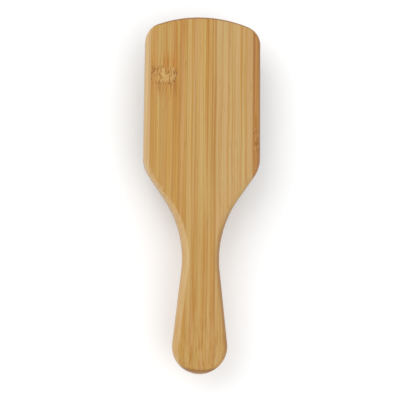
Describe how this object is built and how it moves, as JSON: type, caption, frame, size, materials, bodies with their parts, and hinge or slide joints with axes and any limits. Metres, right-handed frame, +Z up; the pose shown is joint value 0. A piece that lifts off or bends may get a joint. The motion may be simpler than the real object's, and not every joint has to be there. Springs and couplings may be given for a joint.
{
  "type": "paddle brush",
  "caption": "Flat paddle hairbrush: laminated bamboo head and handle in one board, with ball-tipped bamboo pins standing in a rubber air cushion that gives when pressed.",
  "frame": {"origin": "centre of the rectangle that the brush covers, at the height of the pin tips it stands on", "axes": "+Y along the handle towards the head, +Z up out of the wooden back, +X to the right seen from behind the back with the head up"},
  "size_m": [0.0794, 0.245, 0.0359],
  "materials": {
    "bamboo_back": "satin",
    "bamboo_core": "satin",
    "bamboo_front": "satin",
    "cushion_rubber": "matte",
    "bamboo_pin": "satin"
  },
  "bodies": {
    "board": {"back_strip_1": "bamboo_back", "back_strip_2": "bamboo_back", "back_strip_3": "bamboo_back", "back_strip_4": "bamboo_back", "back_strip_5": "bamboo_back", "core_strip_1": "bamboo_core", "core_strip_2": "bamboo_core", "core_strip_3": "bamboo_core", "core_strip_4": "bamboo_core", "front_strip_1": "bamboo_front", "front_strip_2": "bamboo_front", "front_strip_3": "bamboo_front", "front_strip_4": "bamboo_front", "air_cushion": "cushion_rubber"},
    "pins": {"pin_row_1": "bamboo_pin", "pin_row_2": "bamboo_pin", "pin_row_3": "bamboo_pin", "pin_row_4": "bamboo_pin", "pin_row_5": "bamboo_pin", "pin_row_6": "bamboo_pin", "pin_row_7": "bamboo_pin", "pin_row_8": "bamboo_pin", "pin_row_9": "bamboo_pin", "pin_row_10": "bamboo_pin", "pin_row_11": "bamboo_pin", "pin_row_12": "bamboo_pin"}
  },
  "joints": [
    {"name": "cushion_press", "type": "slide", "parent": "board", "child": "pins", "axis": [0, 0, 1], "range_m": [0, 0.004], "stiffness_N_per_m": 900, "springref_m": -0.0025, "deforming": ["air_cushion"]}
  ]
}
